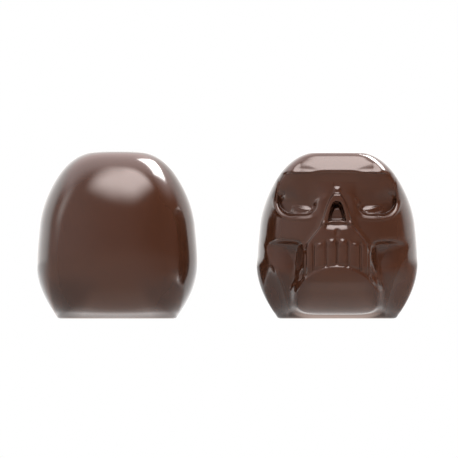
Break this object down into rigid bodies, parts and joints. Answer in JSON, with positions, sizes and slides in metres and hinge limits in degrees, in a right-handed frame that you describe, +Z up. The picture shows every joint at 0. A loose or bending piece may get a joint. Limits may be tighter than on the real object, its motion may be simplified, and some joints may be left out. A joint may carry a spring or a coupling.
{
  "type": "moulded chocolate skull",
  "caption": "Hollow moulded skull in separate face and back half shells, standing on flat necks, which close rim to rim into a whole skull.",
  "frame": {"origin": "on the surface the halves stand on, midway between them and midway between the rim plane and the foremost point of the face", "axes": "+Z up, +X from the back half to the face half, -Y the way the moulded outsides face; the open rims face +Y"},
  "size_m": [0.0762, 0.0154, 0.0333],
  "materials": {
    "face_chocolate": "gloss, dark chocolate",
    "back_chocolate": "gloss, dark chocolate"
  },
  "bodies": {
    "face_half": {"face_half": "face_chocolate"},
    "back_half": {"back_half": "back_chocolate"}
  },
  "joints": [
    {"name": "close_halves", "type": "hinge", "parent": "face_half", "child": "back_half", "pos_m": [0, 0.0078, 0], "axis": [0, 0, -1], "range_deg": [0, 180]}
  ]
}
